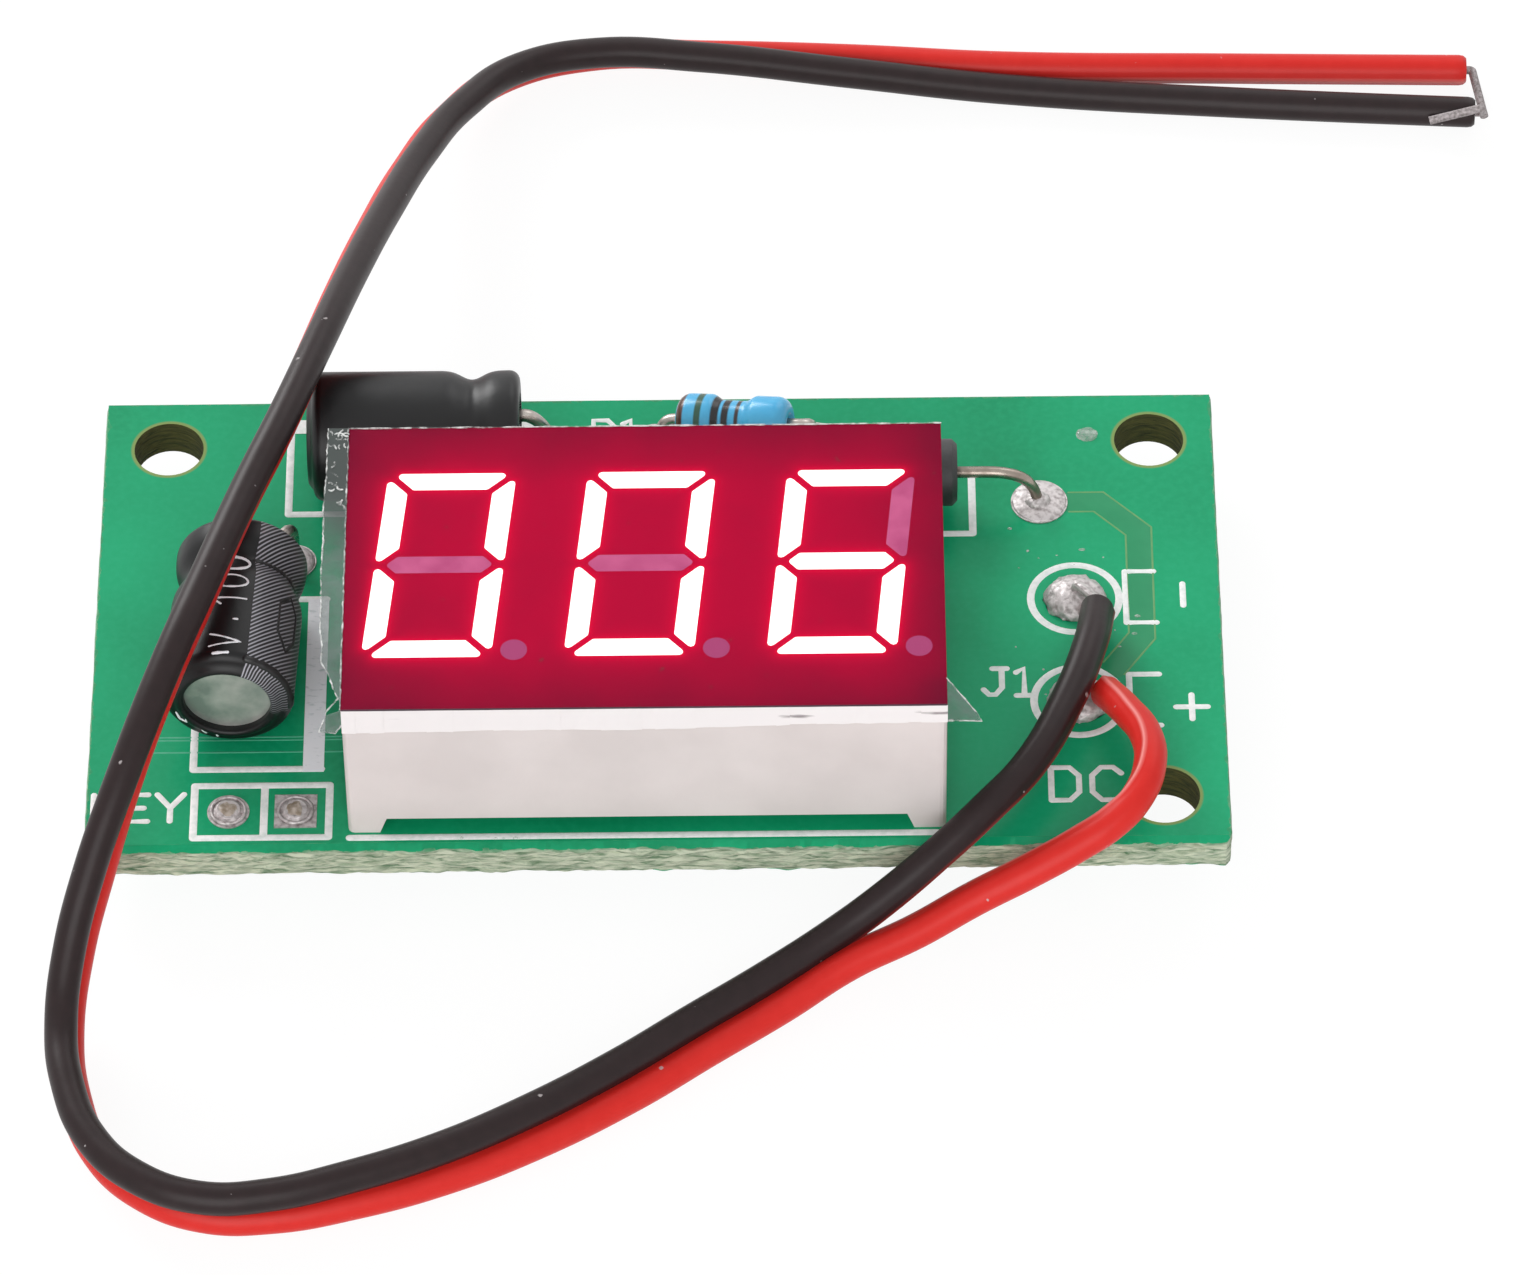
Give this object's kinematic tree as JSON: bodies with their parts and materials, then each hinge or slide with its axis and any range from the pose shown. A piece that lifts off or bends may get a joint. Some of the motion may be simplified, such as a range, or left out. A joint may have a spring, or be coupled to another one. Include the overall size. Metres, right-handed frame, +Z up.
{
  "type": "digital counter module",
  "caption": "Bare circuit board counter with a red seven-segment LED display, capacitors laid flat, solder pads for a key and a bonded red and black supply lead.",
  "frame": {"origin": "centre of the board's outline, at the height of the trimmed lead tips that the module stands on", "axes": "+X along the board's long side to the reader's right, +Y to the rear, +Z up through the display's face"},
  "size_m": [0.0565, 0.0605, 0.0114],
  "materials": {
    "board": "green solder mask over glass-fibre laminate",
    "tinned_pad": "tinned copper",
    "solder": "bright solder",
    "housing": "moulded white-grey plastic",
    "face": "printed crimson face",
    "lit_segment": "cast resin, lit",
    "unlit_segment": "cast resin, unlit",
    "led_chip": "light chip",
    "substrate": "small laminate board",
    "tinned_lead": "tinned wire",
    "film": "clear protective film",
    "capacitor_can": "drawn aluminium",
    "capacitor_sleeve": "black shrink sleeve",
    "bung": "black rubber",
    "resistor": "blue lacquer",
    "diode": "moulded epoxy",
    "diode_lead": "tinned wire, dulled",
    "tinned_core": "tinned strands",
    "black_insulation": "black PVC",
    "red_insulation": "red PVC",
    "chip": "moulded epoxy",
    "chip_resistor": "glazed resistor film on ceramic"
  },
  "bodies": {
    "root": {"circuit_board": "board", "plated_pads": "tinned_pad", "solder_joints": "solder", "display_housing": "housing", "display_face": "face", "lit_segments": "lit_segment", "unlit_segments": "unlit_segment", "led_chips": "led_chip", "display_substrate": "substrate", "display_pins": "tinned_lead", "protective_film": "film", "left_capacitor_can": "capacitor_can", "left_capacitor_sleeve": "capacitor_sleeve", "left_capacitor_bung": "bung", "left_capacitor_leads": "tinned_lead", "rear_capacitor_can": "capacitor_can", "rear_capacitor_sleeve": "capacitor_sleeve", "rear_capacitor_bung": "bung", "rear_capacitor_leads": "tinned_lead", "resistor_body": "resistor", "resistor_leads": "tinned_lead", "diode_body": "diode", "diode_leads": "diode_lead", "black_wire_core": "tinned_core", "red_wire_core": "tinned_core", "black_wire": "black_insulation", "red_wire": "red_insulation", "black_wire_tip": "tinned_core", "red_wire_tip": "tinned_core", "controller_chip": "chip", "controller_legs": "tinned_lead", "regulator_body": "chip", "regulator_tabs": "tinned_lead", "chip_resistor_bodies": "chip_resistor", "chip_resistor_ends": "tinned_lead"}
  },
  "joints": []
}
